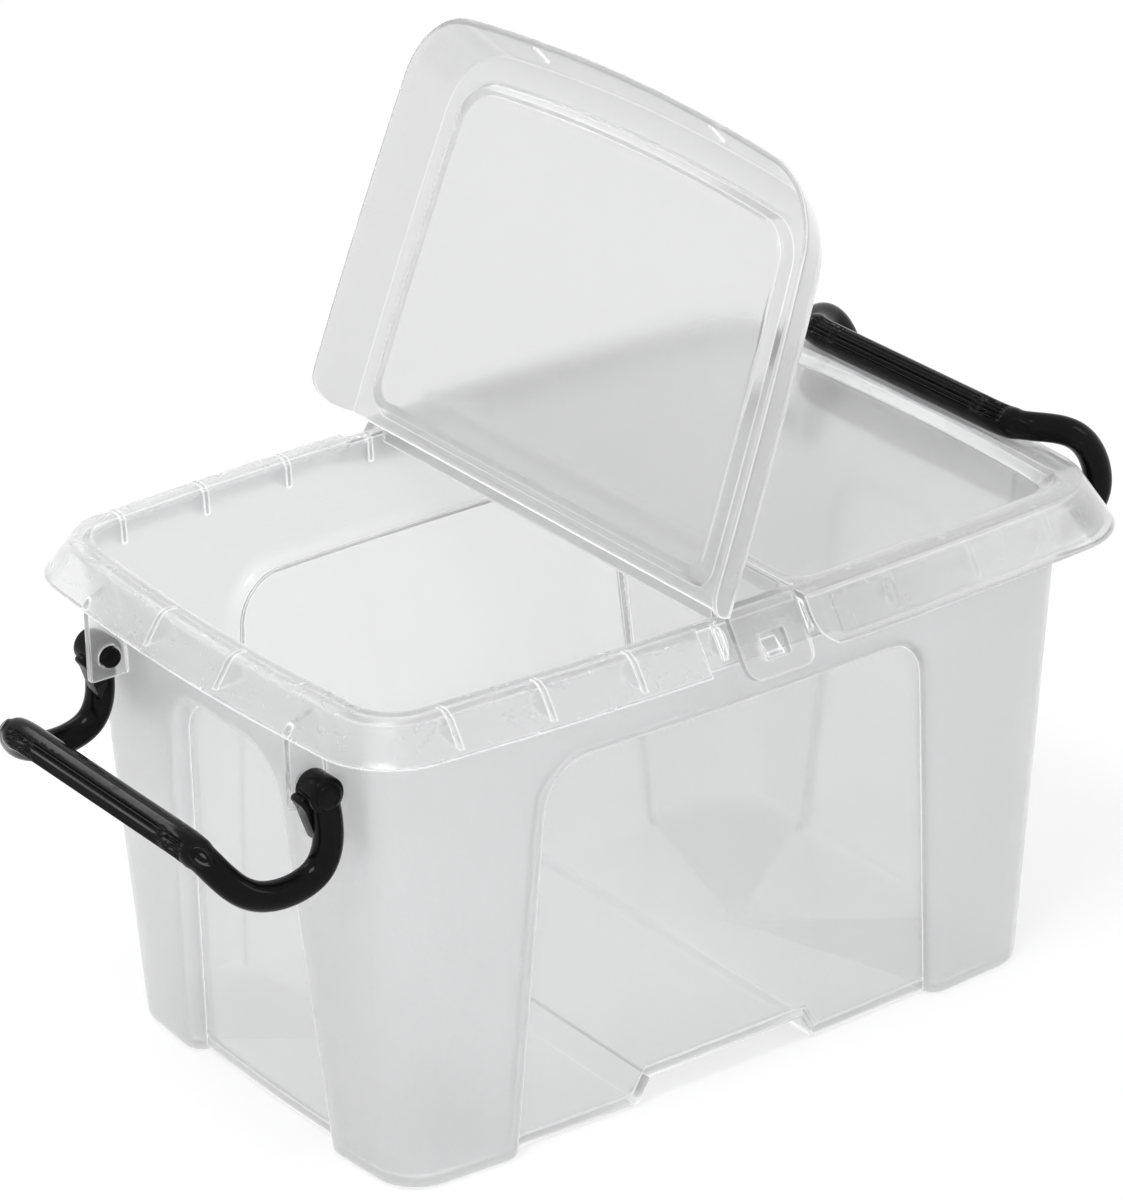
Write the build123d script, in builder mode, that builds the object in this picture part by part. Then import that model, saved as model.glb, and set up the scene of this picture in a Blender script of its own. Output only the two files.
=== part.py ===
from build123d import *
import os

# A small clear storage box for pencils: one moulded tub, one moulded lid whose two halves fold up
# from a centre strap on living hinges, and two snap-in bail handles that latch over the lid's ends.
# Millimetres. Origin under the middle of the box as it is kept, X along the length, Z up.

os.makedirs("parts", exist_ok=True)

over = 1.0                    # how far a cutter runs past what it cuts
bite = 0.5                    # how far one form of a piece runs into the next
breakthrough = 0.01           # how far a hollow opens the face below it

# ---- Plan of the box, measured at the lower edge of the tub's rim
rim_length = 195.0
rim_width = 135.0
rim_corner = 17.5
side_bow_radius = 1100.0      # the long sides bulge gently outwards
end_bow_radius = 590.0        # and so do the short ends

# ---- Tub walls
tub_height = 109.5
wall = 1.4
floor = 1.6
base_inset = 14.5             # rim edge to wall, at the base
top_inset = 8.4               # rim edge to wall, at the top
wall_corner = 10.0

# ---- Clear window panes, set back between the corner posts
pane_depth = 3.4
window_corner = 9.0
front_window_foot = 53.0      # half widths
front_window_head = 47.0
end_window_foot = 24.5
end_window_head = 17.0
window_head_room = 22.5       # from the top of a window to the top of the tub

# ---- Arch under the floor, across the width
arch_half_foot = 22.6
arch_half_crown = 19.6
arch_height = 5.6

# ---- Rim: a flat lip, and an apron that flares down and out from it
lip_inset = 5.2               # rim edge to the lip's outer edge
lip_corner = 14.0
lip_thickness = 1.5
apron_drop = 8.0
apron_thickness = 1.3

# ---- Gussets under the rim
gusset_thickness = 1.2
gusset_lift = 1.1             # their lower edge above the apron's edge
side_gusset_pitch = 21.0
side_gussets = 8
end_gusset_pitch = 25.0
end_gussets = 2

# ---- Seat for the strap's clip, in the middle of each long side of the rim
seat_half = 15.0
seat_depth = 2.4
seat_cheek = 1.3
seat_skin = 0.1               # the seat's backing stays this far inside the apron's face
catch_half = 1.9
catch_height = 2.6
catch_reach = 1.5
catch_root = 0.3

# ---- Handle pivots, in lugs that hang from the rim at each corner
pivot_inset = 6.7             # rim edge to pivot
pivot_drop = 19.5             # top of the tub to pivot
lug_y = 36.0
lug_thickness = 1.8
lug_inset = 2.1               # rim edge to the lug's outer edge
lug_below_pivot = 4.8
lug_root = 8.0                # pivot to the start of the lug, inside the wall
lug_corner = 3.0
pin_radius = 2.2
pin_clearance = 0.08
pin_reach = 1.2               # how far a pin stands out past its lug

# ---- Lid
lid_gap = 0.3                 # lid to tub lip
lid_overhang = 2.4            # lid edge past the rim's edge
lid_corner = 18.0
lid_edge_drop = 0.5           # lid edge below the rim's edge
lid_thickness = 1.4
skirt_thickness = 1.4
shoulder_inset = 2.5          # rim edge to the lid's shoulder
shoulder_drop = 1.1           # the shoulder slopes over to the top
shoulder_run = 1.3
recess_inset = 9.4            # rim edge to the recess, at the top
recess_floor_inset = 12.3
recess_corner = 9.0
recess_depth = 3.0
recess_start = 11.9           # distance of the recess from the centre line
tray_wall = 1.3
tray_floor = 1.3
tray_clearance = 0.4          # tray to the tub's mouth
tray_end_wall = 0.8           # tray's wall beside the strap, at the top
tray_end_foot = 1.5           # and at its floor

# ---- Centre strap, clips and living hinges
strap_half = 8.4
strap_rise = 2.5              # top of the tub to the top of the strap
strap_bottom_gap = 0.4
strap_rib_thickness = 1.2
strap_rib_depth = 2.6
strap_rib_half = 56.5
strap_edge_radius = 2.5
clip_gap = 0.6                # clip to the recessed seat, measured level
clip_thickness = 1.8
clip_below_rim = 3.2
clip_corner = 3.0
clip_window_half = 3.0
clip_window_below_rim = 0.3
clip_window_height = 4.6
web_thickness = 0.5
web_reach = 0.55              # strap's side to the line that a lid half turns about
hinge_half = 60.0             # half the length of a living hinge
half_clearance = 0.3          # a lid half to the strap
skirt_end_x = 14.0            # where a half's skirt begins, at the lower edge
skirt_end_drop = 1.1          # where its end starts to curve away, below the top of the tub
flap_opening = 111.0          # degrees from closed
nub_pitch = 58.0
nub_width = 1.2
nub_height = 4.0
nub_lift = 1.0                # above the lid's edge
nub_reach = 0.4
nub_root = 0.4

# ---- Handles
bar_radius = 3.17
bar_half = 35.0
bar_chamfer = 0.6
bar_offset = (-2.4, 25.1)     # crossbar from the pivot, with the handle latched
arm_radius = 3.05
arm_y = 40.5
arm_run = (                   # the arm's centre line, from the pivot to the bend into the crossbar
    (0.0, 0.0),
    (5.0, 1.5),
    (9.0, 3.2),
    (12.2, 5.8),
    (13.8, 9.8),
    (12.8, 15.0),
    (9.6, 20.4),
    (4.9, 23.5),
)
arm_bend = (0.6, 25.0)        # a point in that bend
arm_bend_y = 39.2
arm_end_y = 34.0
boss_radius = 3.8
boss_thickness = 6.1
tooth_tip = (-3.0, 6.0)       # a small cam tooth on each boss, from the pivot
tooth_heel = (2.6, 5.4)
tooth_foot = (6.6, 2.6)
tooth_thickness = 3.6
lug_gap = 0.3
pin_head_radius = 2.9
pin_head_height = 1.0
flute_depth = 0.42
flute_count = 5
flute_spacing = 20.0          # degrees around the crossbar
flute_centre = 57.0
flute_half = 31.5
handle_swing = 115.0          # degrees from latched to hanging

window_top = tub_height - window_head_room
rim_z = tub_height - apron_drop
lip_z = tub_height - lip_thickness
pivot_x = rim_length / 2 - pivot_inset
pivot_z = tub_height - pivot_drop
lug_outer_x = rim_length / 2 - lug_inset
lug_bottom_z = pivot_z - lug_below_pivot
lid_edge_z = rim_z - lid_edge_drop
lid_under_z = tub_height + lid_gap
lid_top_z = lid_under_z + lid_thickness
recess_z = lid_top_z - recess_depth
tray_z = recess_z - tray_floor
strap_top_z = tub_height + strap_rise
strap_under_z = tub_height + strap_bottom_gap
clip_bottom_z = rim_z - clip_below_rim
clip_window_bottom = rim_z - clip_window_below_rim
hinge_x = strap_half + web_reach
hinge_z = strap_top_z - web_thickness / 2
skirt_end_z = tub_height - skirt_end_drop


def outline(inset, corner, height):
    """Plan outline with gently bowed sides and round corners, a given inset from the rim's edge."""
    half_length = rim_length / 2 - inset
    half_width = rim_width / 2 - inset
    x = half_length - half_width**2 / (2 * end_bow_radius)
    y = half_width - half_length**2 / (2 * side_bow_radius)
    with BuildSketch(Plane.XY.offset(height)) as plan:
        with BuildLine():
            ThreePointArc((-x, -y), (0, -half_width), (x, -y))
            ThreePointArc((x, -y), (half_length, 0), (x, y))
            ThreePointArc((x, y), (0, half_width), (-x, y))
            ThreePointArc((-x, y), (-half_length, 0), (-x, -y))
        make_face()
        fillet(plan.vertices(), corner)
    return plan.sketch


def half_outline(inset, corner, height, start):
    """The part of an outline beyond a start distance, with its two new corners rounded."""
    with BuildSketch(Plane.XY.offset(height)) as plan:
        add(outline(inset, corner, 0))
        with Locations((start + rim_length / 2, 0)):
            Rectangle(rim_length, 2 * rim_width, mode=Mode.INTERSECT)
        fillet(plan.vertices().group_by(Axis.X)[0], corner / 2)
    return plan.sketch


def wall_outline(height, depth):
    """Outline of the tapering wall at a height, a given depth inside its outer face."""
    inset = base_inset + (top_inset - base_inset) * height / tub_height
    return outline(inset + depth, wall_corner - depth, height)


def window(plane, foot, head, grow):
    """Window outline: a trapezium with its upper corners rounded, open past the floor."""
    with BuildSketch(plane) as opening:
        with BuildLine():
            Polyline((-foot, -over), (foot, -over), (head, window_top), (-head, window_top), close=True)
        make_face()
        fillet(opening.vertices().group_by(Axis.Y)[-1], window_corner)
        if grow > 0:
            offset(amount=grow)
    return opening.sketch


def cut_windows(grow):
    """Cuts the part in hand with the windows of all four sides, each grown by a distance."""
    front = window(Plane.XZ, front_window_foot, front_window_head, grow)
    end = window(Plane.YZ, end_window_foot, end_window_head, grow)
    extrude(front, rim_width, both=True, mode=Mode.SUBTRACT)
    extrude(end, rim_length, both=True, mode=Mode.SUBTRACT)


def arch(grow):
    """Section of the arch under the floor."""
    with BuildSketch(Plane.XZ) as section:
        with BuildLine():
            Polyline(
                (-arch_half_foot, -over),
                (arch_half_foot, -over),
                (arch_half_foot, 0),
                (arch_half_crown, arch_height),
                (-arch_half_crown, arch_height),
                (-arch_half_foot, 0),
                close=True,
            )
        make_face()
        if grow > 0:
            offset(amount=grow, kind=Kind.INTERSECTION)
    return section.sketch


def seat_line(depth, height):
    """Distance of the apron's outer face from the centre plane, a depth inside it, at a height."""
    return rim_width / 2 - depth - lip_inset * (height - rim_z) / apron_drop


# ==== Tub: the space inside it, down to the floor and round the set-back panes
pane = pane_depth + wall
with BuildPart() as cavity:
    loft([wall_outline(floor, wall), wall_outline(tub_height + over, wall)], ruled=True)
    cut_windows(wall)
    loft([wall_outline(floor, pane), wall_outline(tub_height, pane)], ruled=True)
    extrude(arch(floor), rim_width, both=True, mode=Mode.SUBTRACT)

# ==== Tub: plates that run through it under the rim, from which only the gussets remain
with BuildPart() as gussets:
    gusset_foot = outline(apron_thickness / 2, rim_corner, rim_z)
    gusset_head = outline(lip_inset, lip_corner, tub_height - over)
    loft([gusset_foot, gusset_head], ruled=True)
    with BuildSketch(Plane.XY.offset(rim_z + gusset_lift)):
        with GridLocations(side_gusset_pitch, 0, side_gussets, 1):
            Rectangle(gusset_thickness, 2 * rim_width)
        with GridLocations(0, end_gusset_pitch, 1, end_gussets):
            Rectangle(2 * rim_length, gusset_thickness)
    extrude(amount=apron_drop, mode=Mode.INTERSECT)

# ==== Tub: its walls, with the panes set back between the posts, and the arch under the floor
with BuildPart() as walls:
    loft([wall_outline(0, 0), wall_outline(lip_z + bite, 0)], ruled=True)
    cut_windows(0)
    loft([wall_outline(0, pane_depth), wall_outline(lip_z, pane_depth)], ruled=True)
    extrude(arch(0), rim_width, both=True, mode=Mode.SUBTRACT)

with BuildPart() as tub:
    # Rim
    loft([outline(0, rim_corner, rim_z), outline(lip_inset, lip_corner, tub_height)], ruled=True)
    hollow_foot = outline(apron_thickness, rim_corner - apron_thickness, rim_z - breakthrough)
    hollow_head = outline(lip_inset + apron_thickness, lip_corner - apron_thickness, lip_z)
    loft([hollow_foot, hollow_head], ruled=True, mode=Mode.SUBTRACT)
    add(gussets.part)
    # Seats for the two clips: the apron is thickened inwards, then cut back, and a catch stands on it
    seat_back = seat_depth + apron_thickness
    catch_back = seat_depth + catch_root
    catch_top_z = rim_z + catch_height
    for side in (-1, 1):
        with BuildSketch(Plane.YZ):
            with BuildLine():
                Polyline(
                    (side * seat_line(seat_skin, rim_z), rim_z),
                    (side * seat_line(seat_skin, tub_height), tub_height),
                    (side * seat_line(seat_back, tub_height), tub_height),
                    (side * seat_line(seat_back, rim_z), rim_z),
                    close=True,
                )
            make_face()
        extrude(amount=seat_half + seat_cheek, both=True)
        with BuildSketch(Plane.YZ):
            with BuildLine():
                Polyline(
                    (side * seat_line(seat_depth, rim_z - over), rim_z - over),
                    (side * seat_line(seat_depth, tub_height + over), tub_height + over),
                    (side * (rim_width / 2 + over), tub_height + over),
                    (side * (rim_width / 2 + over), rim_z - over),
                    close=True,
                )
            make_face()
        extrude(amount=seat_half, both=True, mode=Mode.SUBTRACT)
        with BuildSketch(Plane.YZ):
            with BuildLine():
                Polyline(
                    (side * seat_line(catch_back, rim_z), rim_z),
                    (side * (seat_line(seat_depth, rim_z) + catch_reach), rim_z),
                    (side * seat_line(catch_back, catch_top_z), catch_top_z),
                    close=True,
                )
            make_face()
        extrude(amount=catch_half, both=True)
    add(walls.part)
    # Lugs for the handle pivots
    for end in (-1, 1):
        for side in (-1, 1):
            with BuildSketch(Plane.XZ.offset(-side * lug_y)) as lug:
                with BuildLine():
                    Polyline(
                        (end * (pivot_x - lug_root), lug_bottom_z),
                        (end * lug_outer_x, lug_bottom_z),
                        (end * lug_outer_x, rim_z + gusset_lift),
                        (end * (pivot_x - lug_root), lip_z),
                        close=True,
                    )
                make_face()
                foot = lug.vertices().group_by(Axis.Y)[0].sort_by(Axis.X)
                fillet(foot[-1 if end > 0 else 0], lug_corner)
                with Locations((end * pivot_x, pivot_z)):
                    Circle(pin_radius + pin_clearance, mode=Mode.SUBTRACT)
            extrude(amount=lug_thickness / 2, both=True)
    add(cavity.part, mode=Mode.SUBTRACT)

# ==== Lid: one half, closed, on the +X side
mouth_inset = top_inset + wall + tray_clearance
inner_corner = lid_corner - skirt_thickness
recess_run = recess_floor_inset - recess_inset
free_x = strap_half + half_clearance
skirt_slope = (shoulder_inset + lid_overhang) / (lid_under_z - lid_edge_z)

with BuildPart() as closed_half:
    # Plate and skirt
    edge = outline(-lid_overhang, lid_corner, lid_edge_z)
    shoulder = outline(shoulder_inset, lid_corner, lid_top_z - shoulder_drop)
    top = outline(shoulder_inset + shoulder_run, lid_corner, lid_top_z)
    loft([edge, shoulder, top], ruled=True)
    skirt_foot = outline(skirt_thickness - lid_overhang, inner_corner, lid_edge_z - breakthrough)
    skirt_head = outline(skirt_thickness + shoulder_inset, inner_corner, lid_under_z)
    loft([skirt_foot, skirt_head], ruled=True, mode=Mode.SUBTRACT)
    # Sunken panel
    tray_start = recess_start + recess_run - tray_end_foot
    tray_head = half_outline(mouth_inset, recess_corner, lid_under_z + bite, recess_start - tray_end_wall)
    tray_foot = half_outline(recess_floor_inset - tray_wall, recess_corner, tray_z, tray_start)
    loft([tray_head, tray_foot], ruled=True)
    recess_head = half_outline(recess_inset, recess_corner, lid_top_z, recess_start)
    recess_foot = half_outline(recess_floor_inset, recess_corner, recess_z, recess_start + recess_run)
    loft([recess_head, recess_foot], ruled=True, mode=Mode.SUBTRACT)
    # Hinge side, and the skirt's ends curving away from it
    with BuildSketch(Plane.XZ):
        with BuildLine():
            free_edge = Line((free_x, lid_top_z + over), (free_x, skirt_end_z))
            curve = TangentArc(free_edge @ 1, (skirt_end_x, lid_edge_z), tangent=(0, -1))
            Polyline(
                curve @ 1,
                (skirt_end_x, lid_edge_z - over),
                (rim_length, lid_edge_z - over),
                (rim_length, lid_top_z + over),
                free_edge @ 0,
            )
        make_face()
    extrude(amount=rim_width, both=True, mode=Mode.INTERSECT)
    # Nubs inside the end skirt that snap under the rim's edge
    foot_z = lid_edge_z + nub_lift
    head_z = foot_z + nub_height
    for side in (-1, 1):
        nub_y = side * nub_pitch / 2
        skirt_x = rim_length / 2 + lid_overhang - skirt_thickness - nub_y**2 / (2 * end_bow_radius)
        foot_x = skirt_x - skirt_slope * nub_lift
        head_x = foot_x - skirt_slope * nub_height
        with BuildSketch(Plane.XZ.offset(-nub_y)):
            with BuildLine():
                Polyline(
                    (foot_x + nub_root, foot_z),
                    (head_x + nub_root, head_z),
                    (head_x - nub_reach, head_z),
                    (foot_x - nub_reach, foot_z),
                    close=True,
                )
            make_face()
        extrude(amount=nub_width / 2, both=True)

with BuildPart() as lid_half_right:
    add(closed_half.part)

with BuildPart() as lid_half_left:
    left_hinge = Axis((-hinge_x, 0, hinge_z), (0, 1, 0))
    add(closed_half.part.mirror(Plane.YZ).rotate(left_hinge, flap_opening))

# ==== Lid: the strap between the halves, bent down at both ends into clips
with BuildPart() as lid_strap:
    clip_back = clip_gap + clip_thickness
    with BuildSketch(Plane.YZ) as strap_side:
        with BuildLine():
            Polyline(
                (0, strap_top_z),
                (seat_line(seat_depth, strap_top_z) + clip_back, strap_top_z),
                (seat_line(seat_depth, clip_bottom_z) + clip_back, clip_bottom_z),
                (seat_line(seat_depth, clip_bottom_z) + clip_gap, clip_bottom_z),
                (seat_line(seat_depth, strap_under_z) + clip_gap, strap_under_z),
                (0, strap_under_z),
                close=True,
            )
        make_face()
        fillet(strap_side.vertices().group_by(Axis.Y)[-1].sort_by(Axis.X)[-1], strap_edge_radius)
        mirror(about=Plane.YZ)
    extrude(amount=strap_half, both=True)
    # Stiffening ribs below it, between the two halves' panels
    with BuildSketch(Plane.XY.offset(strap_under_z)):
        with GridLocations(2 * strap_half - strap_rib_thickness, 0, 2, 1):
            Rectangle(strap_rib_thickness, 2 * strap_rib_half)
    extrude(amount=-strap_rib_depth)
    # Round the clips' lower corners, and open a window in each for its catch
    with BuildSketch(Plane.XZ) as front_view:
        with Locations((0, (clip_bottom_z + strap_top_z) / 2)):
            Rectangle(2 * strap_half, strap_top_z - clip_bottom_z)
        fillet(front_view.vertices().group_by(Axis.Y)[0], clip_corner)
        with Locations((0, clip_window_bottom + clip_window_height / 2)):
            Rectangle(2 * clip_window_half, clip_window_height, mode=Mode.SUBTRACT)
    extrude(amount=rim_width, both=True, mode=Mode.INTERSECT)

# ==== Living hinges: thin webs along the strap's two sides, round at the line the halves turn about
with BuildPart() as living_hinge_right:
    with BuildSketch(Plane.XZ):
        with Locations((strap_half, hinge_z)):
            Rectangle(web_reach, web_thickness, align=(Align.MIN, Align.CENTER))
        with Locations((hinge_x, hinge_z)):
            Circle(web_thickness / 2)
    extrude(amount=hinge_half, both=True)

with BuildPart() as living_hinge_left:
    add(living_hinge_right.part.mirror(Plane.YZ))

# ==== Bail handle, latched, on the +X side
pivot_plane = Plane(origin=(pivot_x, 0, pivot_z), x_dir=(1, 0, 0), z_dir=(0, -1, 0))
plate_y = lug_y + lug_thickness / 2 + lug_gap     # inner face of the boss


def arm_point(offset, y):
    """A point of the arm's centre line, given from the pivot."""
    return (pivot_x + offset[0], y, pivot_z + offset[1])


with BuildPart() as latched_handle:
    # Crossbar, with flutes along its outer face
    with BuildSketch(pivot_plane):
        with Locations(bar_offset):
            Circle(bar_radius)
    extrude(amount=bar_half, both=True)
    chamfer(latched_handle.edges().filter_by(GeomType.CIRCLE), bar_chamfer)
    with BuildSketch(pivot_plane):
        with Locations(bar_offset):
            first = flute_centre - flute_spacing * (flute_count - 1) / 2
            with PolarLocations(bar_radius, flute_count, first, flute_spacing * flute_count):
                RegularPolygon(flute_depth, 4)
    extrude(amount=flute_half, both=True, mode=Mode.SUBTRACT)
    for side in (-1, 1):
        # Arm, bowed round the lid's edge
        with BuildLine() as arm_line:
            Polyline(
                [arm_point(offset, side * arm_y) for offset in arm_run]
                + [arm_point(arm_bend, side * arm_bend_y), arm_point(bar_offset, side * arm_end_y)]
            )
        with BuildSketch(Plane(arm_line.line @ 0, z_dir=arm_line.line % 0)):
            Circle(arm_radius)
        sweep(transition=Transition.RIGHT)
        # Boss against the lug, its pin, and the head outside
        with BuildSketch(pivot_plane.offset(-side * plate_y)):
            Circle(boss_radius)
        extrude(amount=-side * boss_thickness)
        with BuildSketch(pivot_plane.offset(-side * plate_y)):
            with BuildLine():
                Polyline((0, 0), tooth_tip, tooth_heel, tooth_foot, close=True)
            make_face()
        extrude(amount=-side * tooth_thickness)
        with BuildSketch(pivot_plane.offset(-side * (plate_y + boss_thickness))):
            Circle(pin_head_radius)
        extrude(amount=-side * pin_head_height)
        with BuildSketch(pivot_plane.offset(-side * plate_y)):
            Circle(pin_radius)
        extrude(amount=side * (lug_thickness + lug_gap + pin_reach))

with BuildPart() as handle_right:
    add(latched_handle.part)

with BuildPart() as handle_left:
    left_pivot = Axis((-pivot_x, 0, pivot_z), (0, 1, 0))
    add(latched_handle.part.mirror(Plane.YZ).rotate(left_pivot, -handle_swing))

# ==== Everything is placed so that the origin is under the middle of the box as it is kept, one handle
# out and one latched, and written
footprint = handle_left.part.bounding_box().min.X + handle_right.part.bounding_box().max.X
placed = Location((-footprint / 2, 0, 0))
tub.part.locate(placed)
tub.part.label = "tub"
export_step(tub.part, "parts/tub.step")
lid_strap.part.locate(placed)
lid_strap.part.label = "lid_strap"
export_step(lid_strap.part, "parts/lid_strap.step")
living_hinge_right.part.locate(placed)
living_hinge_right.part.label = "living_hinge_right"
export_step(living_hinge_right.part, "parts/living_hinge_right.step")
living_hinge_left.part.locate(placed)
living_hinge_left.part.label = "living_hinge_left"
export_step(living_hinge_left.part, "parts/living_hinge_left.step")
lid_half_right.part.locate(placed)
lid_half_right.part.label = "lid_half_right"
export_step(lid_half_right.part, "parts/lid_half_right.step")
lid_half_left.part.locate(placed)
lid_half_left.part.label = "lid_half_left"
export_step(lid_half_left.part, "parts/lid_half_left.step")
handle_right.part.locate(placed)
handle_right.part.label = "handle_right"
export_step(handle_right.part, "parts/handle_right.step")
handle_left.part.locate(placed)
handle_left.part.label = "handle_left"
export_step(handle_left.part, "parts/handle_left.step")
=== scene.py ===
from math import cos, pi, radians, sin
import bmesh
import bpy
import numpy as np
from mathutils import Matrix, Vector


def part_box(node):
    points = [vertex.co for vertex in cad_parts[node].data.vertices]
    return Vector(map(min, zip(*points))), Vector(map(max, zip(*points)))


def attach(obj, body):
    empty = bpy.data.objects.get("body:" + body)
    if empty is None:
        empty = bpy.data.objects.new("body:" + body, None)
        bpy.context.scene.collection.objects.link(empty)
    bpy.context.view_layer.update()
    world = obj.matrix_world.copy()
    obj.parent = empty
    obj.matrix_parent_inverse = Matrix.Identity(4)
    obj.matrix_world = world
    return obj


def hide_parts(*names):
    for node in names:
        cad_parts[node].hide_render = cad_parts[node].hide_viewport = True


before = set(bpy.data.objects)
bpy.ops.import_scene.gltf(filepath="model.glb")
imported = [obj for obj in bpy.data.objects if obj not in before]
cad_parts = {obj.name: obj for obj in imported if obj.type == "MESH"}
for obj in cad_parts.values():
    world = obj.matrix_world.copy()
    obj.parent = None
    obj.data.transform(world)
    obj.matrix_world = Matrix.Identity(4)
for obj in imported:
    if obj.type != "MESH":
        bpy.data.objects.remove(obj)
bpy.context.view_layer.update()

# ---------------------------------------------------------------------------
# Tub. One injection moulding in natural polypropylene, 1.4 mm thick, that tapers to its base.
# Clear panes are set back between frosted corner posts, and a flared rim runs round the top.
# The wall, rim and floor are one closed skin: a run round the plan, times a run over the section.
# ---------------------------------------------------------------------------
rim_length = 0.195
rim_width = 0.135
side_bow_radius = 1.1
end_bow_radius = 0.59
tub_height = 0.1095
lip_z = 0.108
rim_z = 0.1015
lip_inset = 0.0052
wall = 0.0014
floor = 0.0016
base_inset = 0.0145
top_inset = 0.0084
wall_corner = 0.010
tub_mid_x = (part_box("tub")[0].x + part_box("tub")[1].x) / 2


def plan_point(place, along, inset, corner):
    """X and Y in the plan's first quarter, an inset inside the rim's edge. Two circles bow the sides, and a
    third of radius corner touches both. place 0 is the long side, with X given in along, place 1 the
    corner, with the share of its arc given, and place 2 the end, with Y given."""
    half_length = rim_length / 2 - inset
    half_width = rim_width / 2 - inset
    side_sag = half_length**2 / (2 * side_bow_radius)
    end_sag = half_width**2 / (2 * end_bow_radius)
    side_radius = ((half_length - end_sag) ** 2 + side_sag**2) / (2 * side_sag)
    end_radius = ((half_width - side_sag) ** 2 + end_sag**2) / (2 * end_sag)
    side_centre = half_width - side_radius
    end_centre = half_length - end_radius
    # The corner's centre is side_radius - corner from (0, side_centre), end_radius - corner from
    # (end_centre, 0)
    near = side_radius - corner
    far = end_radius - corner
    apart = np.hypot(end_centre, side_centre)
    run = (near**2 - far**2 + apart**2) / (2 * apart)
    rise = np.sqrt(near**2 - run**2)
    ux, uy = end_centre / apart, -side_centre / apart
    cx = run * ux - rise * uy
    cy = side_centre + run * uy + rise * ux
    wrong = (cx < 0) | (cy < 0)
    cx = np.where(wrong, run * ux + rise * uy, cx)
    cy = np.where(wrong, side_centre + run * uy - rise * ux, cy)
    side_angle = np.arctan2(cy - side_centre, cx)
    end_angle = np.arctan2(cy, cx - end_centre)
    turn = side_angle + (end_angle - side_angle) * along
    side_y = side_centre + np.sqrt(side_radius**2 - np.where(place == 0, along, 0) ** 2)
    end_x = end_centre + np.sqrt(end_radius**2 - np.where(place == 2, along, 0) ** 2)
    x = np.choose(place, [along, cx + corner * np.cos(turn), end_x])
    y = np.choose(place, [side_y, cy + corner * np.sin(turn), along])
    return x, y, cx + corner * np.cos(side_angle), cy + corner * np.sin(end_angle)


def smooth_step(value):
    """0 below 0, 1 above 1, and 3v^2 - 2v^3 between."""
    value = np.clip(value, 0, 1)
    return value * value * (3 - 2 * value)


weld_distance = 2e-6


def make_piece(name, shells, sharp=35.0):
    """One mesh piece of closed shells, each an array of points, rows by columns by 3, with flags for
    whether its rows and its columns close on themselves. A fourth number at each point is how frosted it
    is. Double points are merged, so that a row drawn to a point is a cap."""
    points, faces, first = [], [], 0
    for grid, rows_close, columns_close in shells:
        rows, columns = grid.shape[:2]
        i = np.arange(rows if rows_close else rows - 1)
        j = np.arange(columns if columns_close else columns - 1)
        i, j = (v.ravel() for v in np.meshgrid(i, j, indexing="ij"))
        down, across = (i + 1) % rows, (j + 1) % columns
        corners = (i * columns + j, i * columns + across, down * columns + across, down * columns + j)
        faces.append(np.stack(corners, 1) + first)
        points.append(grid.reshape(-1, grid.shape[2]))
        first += rows * columns
    points = np.concatenate(points)
    mesh = bpy.data.meshes.new(name)
    mesh.from_pydata(points[:, :3], [], np.concatenate(faces))
    if points.shape[1] > 3:
        frost = mesh.attributes.new("frost", "FLOAT", "POINT")
        frost.data.foreach_set("value", points[:, 3].astype(np.float32))
    build = bmesh.new()
    build.from_mesh(mesh)
    bmesh.ops.remove_doubles(build, verts=build.verts, dist=weld_distance)
    bmesh.ops.recalc_face_normals(build, faces=build.faces)
    build.to_mesh(mesh)
    build.free()
    mesh.shade_smooth()
    mesh.set_sharp_from_angle(angle=radians(sharp))
    piece = bpy.data.objects.new(name, mesh)
    bpy.context.scene.collection.objects.link(piece)
    return piece


# Section of a window's edge: how far a point lies inside the pane's edge, and how deep the face is set
# back. The post rounds over into the recess, and the inside of the wall follows 1.4 mm behind.
pane_depth = 0.0034
window_corner = 0.009
window_top = 0.087
post_turn = np.radians([72.0, 54.0, 36.0, 18.0, 0.0])
liner_turn = np.radians([90.0, 66.0, 44.0, 22.0, 0.0])
liner_radius = pane_depth - wall
inside = np.array([9.0, 6.5, 4.5, 3.0, 2.0, 1.2, 0.5, 0.0]) / 1000
behind = np.array([9.0, 6.5, 4.5, 3.0, 1.8, 0.8, -0.4, -1.38]) / 1000
beyond = np.array([-4.5, -6.0, -8.0, -10.5]) / 1000
outer_reach = np.concatenate([inside, -pane_depth * (1 - np.sin(post_turn)), beyond])
inner_reach = np.concatenate([behind, -pane_depth + liner_radius * np.sin(liner_turn), beyond])
pane = np.full(len(inside), pane_depth)
post = np.zeros(len(beyond))
outer_depth = np.concatenate([pane, pane_depth * (1 - np.cos(post_turn)), post])
inner_depth = np.concatenate([pane, pane_depth - wall - liner_radius * np.cos(liner_turn), post])

# Columns of the skin in one quarter of the plan: along the long side, round the corner, along the end.
front_foot, front_head = 0.053, 0.047
end_foot, end_head = 0.0245, 0.017
arch_height = 0.0056
seat_half = 0.015
side_outer = np.array([0, 5, 10, 14, 15, 15.65, 16.3, 19.6, 22.6, 24.6, 29, 33.5]) / 1000
side_inner = np.array([0, 5, 10, 14, 15, 15.65, 16.3, 20.56, 23.56, 25.2, 29, 33.5]) / 1000
corner_share = np.linspace(0, 1, 15)
end_fixed = np.array([6, 3, 0]) / 1000
lean_limit = 1.2
far = 1.0


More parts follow.
